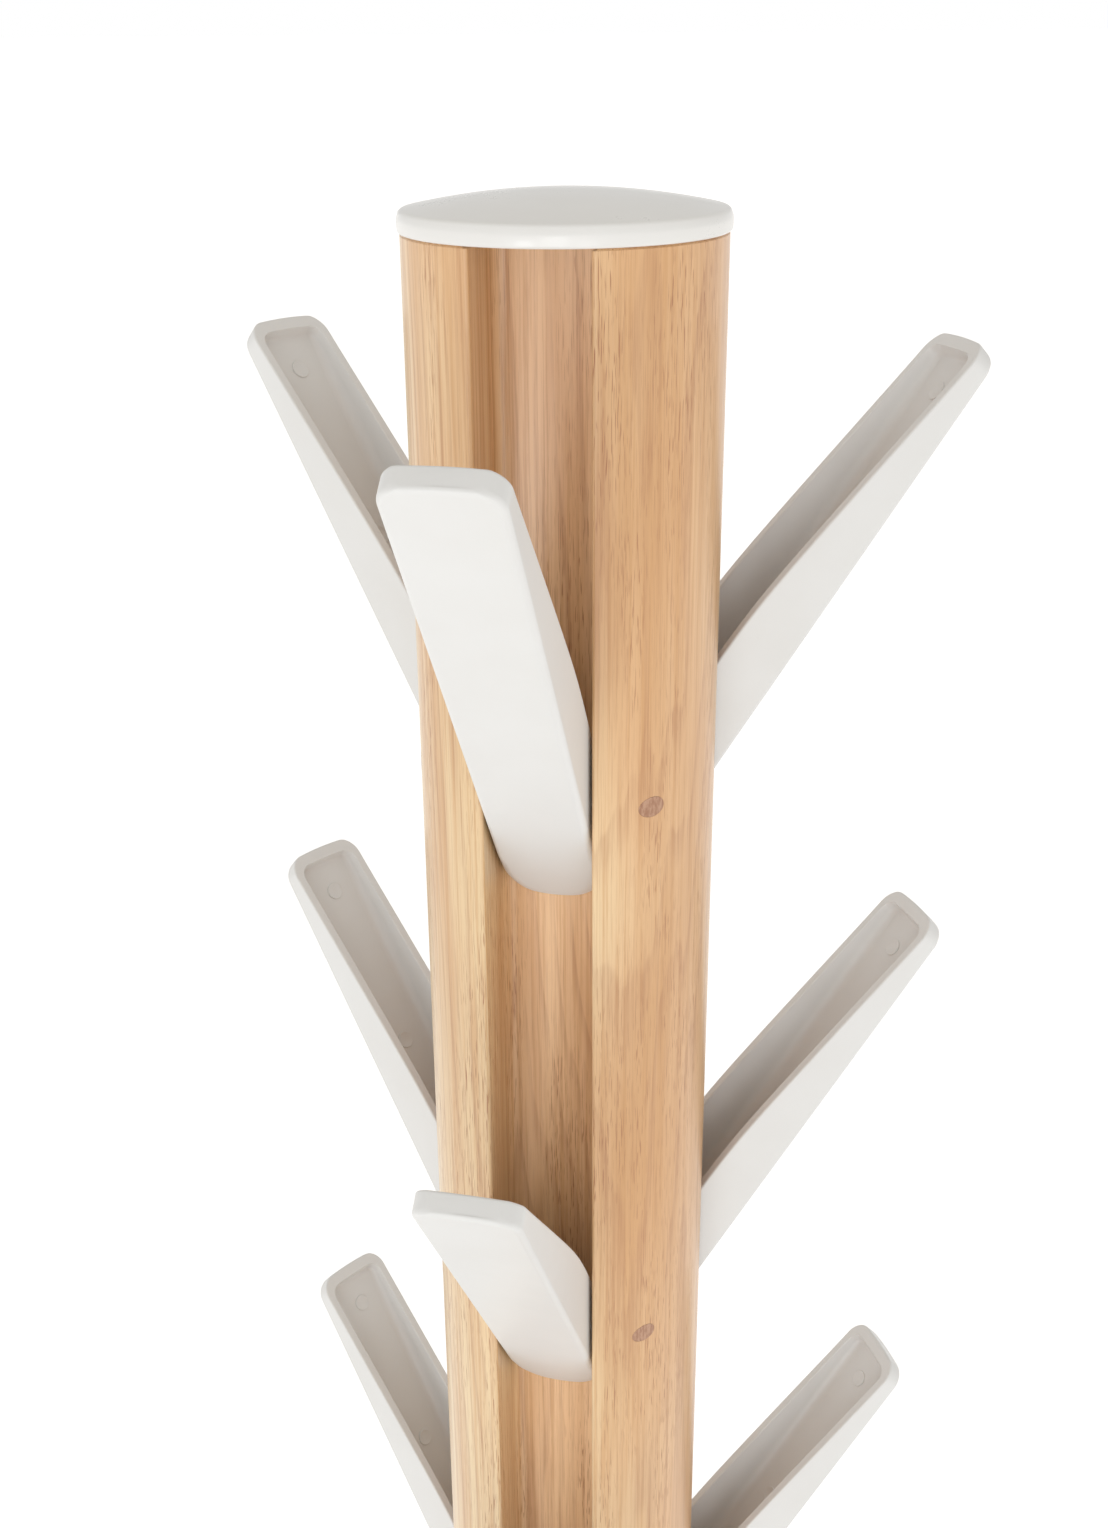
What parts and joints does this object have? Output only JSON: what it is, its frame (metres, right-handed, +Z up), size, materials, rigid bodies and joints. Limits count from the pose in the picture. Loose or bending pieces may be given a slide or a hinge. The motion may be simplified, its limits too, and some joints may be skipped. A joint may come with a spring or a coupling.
{
  "type": "standing coat rack",
  "caption": "Free-standing coat rack: a grooved round wooden post on a weighted round base, with fold-out troughed hooks hinged in three vertical grooves and a domed cap.",
  "frame": {"origin": "on the floor, under the axis of the post", "axes": "+Z up along the post; -Y out through the front column of hooks; the other two columns are 120 degrees either side"},
  "size_m": [0.38, 0.38, 1.68],
  "materials": {
    "wood": "pale straight-grained hardwood under satin clear lacquer",
    "plug_wood": "end-grain plug under satin clear lacquer",
    "hook_plastic": "warm white moulded plastic, semi-gloss",
    "cap_plastic": "white moulded plastic, gloss",
    "steel": "zinc-plated steel",
    "brass": "turned brass",
    "base_paint": "white powder coat, semi-gloss",
    "plate_paint": "black enamel, satin",
    "iron": "bare grey casting",
    "rubber": "matt black rubber"
  },
  "bodies": {
    "stand": {"post_lower": "wood", "insert_lower_bottom": "brass", "insert_lower_top": "brass", "stud_above_lower": "steel", "post_middle": "wood", "insert_middle_bottom": "brass", "insert_middle_top": "brass", "stud_above_middle": "steel", "post_upper": "wood", "insert_upper_bottom": "brass", "post_cap": "cap_plastic", "hinge_pin_front_1": "steel", "pin_plug_front_1": "plug_wood", "hinge_pin_front_2": "steel", "pin_plug_front_2": "plug_wood", "hinge_pin_front_3": "steel", "pin_plug_front_3": "plug_wood", "hinge_pin_right_1": "steel", "pin_plug_right_1": "plug_wood", "hinge_pin_right_2": "steel", "pin_plug_right_2": "plug_wood", "hinge_pin_right_3": "steel", "pin_plug_right_3": "plug_wood", "hinge_pin_left_1": "steel", "pin_plug_left_1": "plug_wood", "hinge_pin_left_2": "steel", "pin_plug_left_2": "plug_wood", "hinge_pin_left_3": "steel", "pin_plug_left_3": "plug_wood", "base_shell": "base_paint", "base_weight": "iron", "base_plate": "plate_paint", "base_bolt": "steel", "base_washer": "steel", "foot_1": "rubber", "foot_2": "rubber", "foot_3": "rubber", "foot_4": "rubber", "foot_5": "rubber", "foot_6": "rubber"},
    "hook_front_1_arm": {"hook_front_1": "hook_plastic"},
    "hook_front_2_arm": {"hook_front_2": "hook_plastic"},
    "hook_front_3_arm": {"hook_front_3": "hook_plastic"},
    "hook_right_1_arm": {"hook_right_1": "hook_plastic"},
    "hook_right_2_arm": {"hook_right_2": "hook_plastic"},
    "hook_right_3_arm": {"hook_right_3": "hook_plastic"},
    "hook_left_1_arm": {"hook_left_1": "hook_plastic"},
    "hook_left_2_arm": {"hook_left_2": "hook_plastic"},
    "hook_left_3_arm": {"hook_left_3": "hook_plastic"}
  },
  "joints": [
    {"name": "hook_front_1_fold", "type": "hinge", "parent": "stand", "child": "hook_front_1_arm", "pos_m": [0, -0.0268, 1.5394], "axis": [-1, 0, 0], "range_deg": [0, 35.8]},
    {"name": "hook_front_2_fold", "type": "hinge", "parent": "stand", "child": "hook_front_2_arm", "pos_m": [0, -0.0268, 1.3774], "axis": [-1, 0, 0], "range_deg": [0, 35.8]},
    {"name": "hook_front_3_fold", "type": "hinge", "parent": "stand", "child": "hook_front_3_arm", "pos_m": [0, -0.0268, 1.2154], "axis": [-1, 0, 0], "range_deg": [0, 35.8]},
    {"name": "hook_right_1_fold", "type": "hinge", "parent": "stand", "child": "hook_right_1_arm", "pos_m": [0.02321, 0.0134, 1.5394], "axis": [0.5, -0.866, 0], "range_deg": [0, 35.8]},
    {"name": "hook_right_2_fold", "type": "hinge", "parent": "stand", "child": "hook_right_2_arm", "pos_m": [0.02321, 0.0134, 1.3774], "axis": [0.5, -0.866, 0], "range_deg": [0, 35.8]},
    {"name": "hook_right_3_fold", "type": "hinge", "parent": "stand", "child": "hook_right_3_arm", "pos_m": [0.02321, 0.0134, 1.2154], "axis": [0.5, -0.866, 0], "range_deg": [0, 35.8]},
    {"name": "hook_left_1_fold", "type": "hinge", "parent": "stand", "child": "hook_left_1_arm", "pos_m": [-0.02321, 0.0134, 1.5394], "axis": [0.5, 0.866, 0], "range_deg": [0, 35.8]},
    {"name": "hook_left_2_fold", "type": "hinge", "parent": "stand", "child": "hook_left_2_arm", "pos_m": [-0.02321, 0.0134, 1.3774], "axis": [0.5, 0.866, 0], "range_deg": [0, 35.8]},
    {"name": "hook_left_3_fold", "type": "hinge", "parent": "stand", "child": "hook_left_3_arm", "pos_m": [-0.02321, 0.0134, 1.2154], "axis": [0.5, 0.866, 0], "range_deg": [0, 35.8]}
  ]
}
